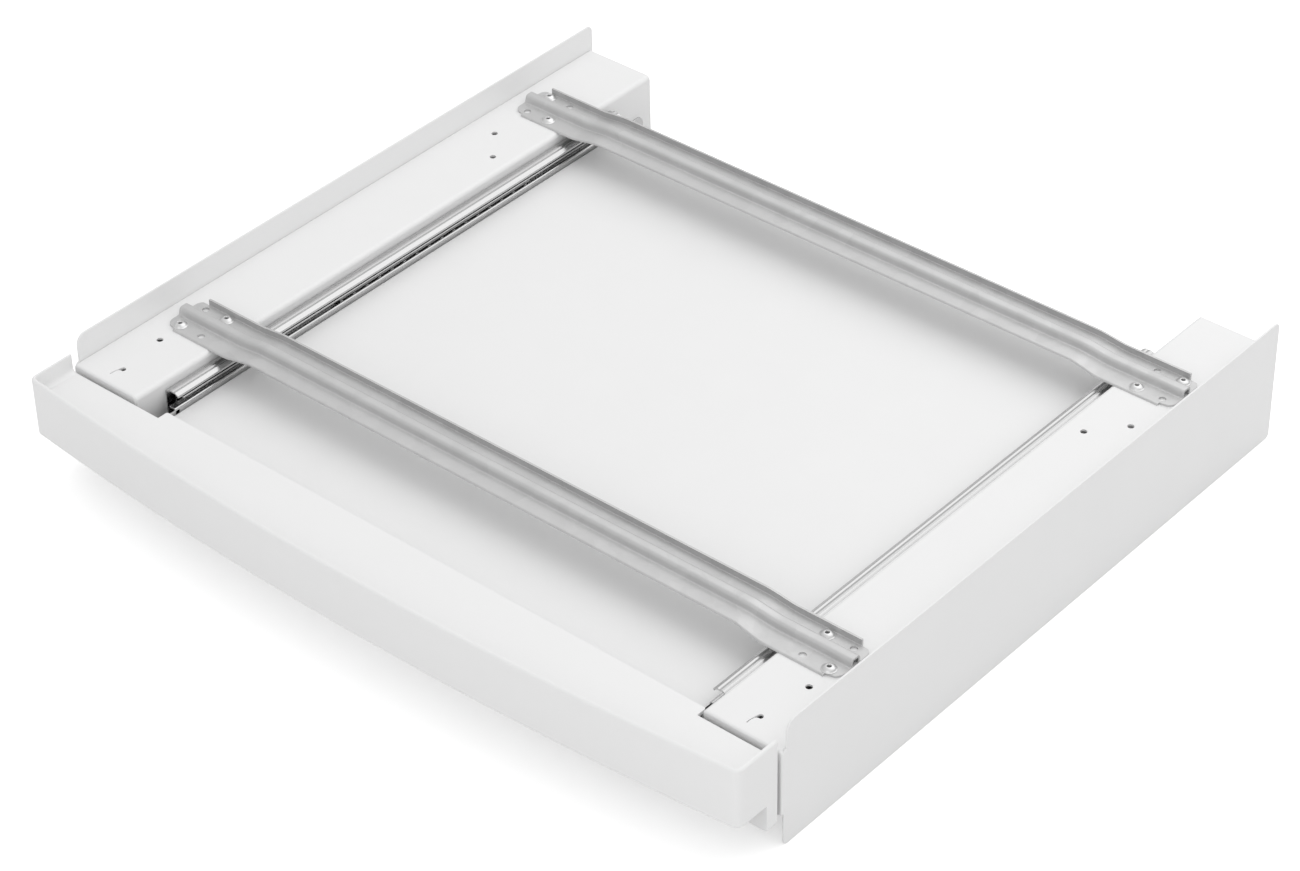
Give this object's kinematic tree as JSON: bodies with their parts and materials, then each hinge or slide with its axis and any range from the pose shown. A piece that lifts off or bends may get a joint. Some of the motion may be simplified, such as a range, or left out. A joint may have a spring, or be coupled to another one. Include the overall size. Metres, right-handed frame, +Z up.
{
  "type": "laundry stacking kit",
  "caption": "Stacking frame of side channels joined by braces, with a pull-out shelf on ball slides behind a bowed front, to stand a dryer on a washing machine.",
  "frame": {"origin": "centre of the overall box, at the level of the side plates' lower edges", "axes": "+X to the right as seen from the front, +Y to the back, +Z up"},
  "size_m": [0.6, 0.5692, 0.094],
  "materials": {
    "white_paint": "satin white powder paint",
    "white_plastic": "smooth white moulding",
    "galvanised_steel": "dull zinc coat",
    "bright_steel": "bright zinc plate",
    "bearing_steel": "polished, greased",
    "fixing_steel": "zinc plated",
    "black_rubber": "matt"
  },
  "bodies": {
    "frame": {"left_side_plate": "white_paint", "right_side_plate": "white_paint", "left_channel": "white_paint", "right_channel": "white_paint", "front_brace": "galvanised_steel", "rear_brace": "galvanised_steel", "brace_rivets": "fixing_steel", "left_outer_rail": "bright_steel", "right_outer_rail": "bright_steel", "rail_rivets": "fixing_steel", "left_rail_buffer": "black_rubber", "right_rail_buffer": "black_rubber"},
    "shelf": {"left_inner_rail": "bright_steel", "right_inner_rail": "bright_steel", "shelf_tray": "white_paint", "front_beam": "white_paint", "front_fascia": "white_plastic", "tray_screws": "fixing_steel", "beam_screws": "fixing_steel", "fascia_screws": "fixing_steel"},
    "left_middle": {"left_middle_rail": "bright_steel"},
    "left_outer_bearing": {"left_outer_cage": "bright_steel", "left_outer_balls": "bearing_steel"},
    "left_inner_bearing": {"left_inner_cage": "bright_steel", "left_inner_balls": "bearing_steel"},
    "right_middle": {"right_middle_rail": "bright_steel"},
    "right_outer_bearing": {"right_outer_cage": "bright_steel", "right_outer_balls": "bearing_steel"},
    "right_inner_bearing": {"right_inner_cage": "bright_steel", "right_inner_balls": "bearing_steel"}
  },
  "joints": [
    {"name": "shelf_slide", "type": "slide", "parent": "frame", "child": "shelf", "axis": [0, -1, 0], "range_m": [0, 0.36]},
    {"name": "left_middle_slide", "type": "slide", "parent": "frame", "child": "left_middle", "axis": [0, -1, 0], "range_m": [0, 0.18]},
    {"name": "left_outer_bearing_slide", "type": "slide", "parent": "frame", "child": "left_outer_bearing", "axis": [0, -1, 0], "range_m": [0, 0.09]},
    {"name": "left_inner_bearing_slide", "type": "slide", "parent": "frame", "child": "left_inner_bearing", "axis": [0, -1, 0], "range_m": [0, 0.27]},
    {"name": "right_middle_slide", "type": "slide", "parent": "frame", "child": "right_middle", "axis": [0, -1, 0], "range_m": [0, 0.18]},
    {"name": "right_outer_bearing_slide", "type": "slide", "parent": "frame", "child": "right_outer_bearing", "axis": [0, -1, 0], "range_m": [0, 0.09]},
    {"name": "right_inner_bearing_slide", "type": "slide", "parent": "frame", "child": "right_inner_bearing", "axis": [0, -1, 0], "range_m": [0, 0.27]}
  ],
  "couplings": [
    {"joint": "left_middle_slide", "follows": "shelf_slide", "ratio": 0.5},
    {"joint": "left_outer_bearing_slide", "follows": "shelf_slide", "ratio": 0.25},
    {"joint": "left_inner_bearing_slide", "follows": "shelf_slide", "ratio": 0.75},
    {"joint": "right_middle_slide", "follows": "shelf_slide", "ratio": 0.5},
    {"joint": "right_outer_bearing_slide", "follows": "shelf_slide", "ratio": 0.25},
    {"joint": "right_inner_bearing_slide", "follows": "shelf_slide", "ratio": 0.75}
  ]
}
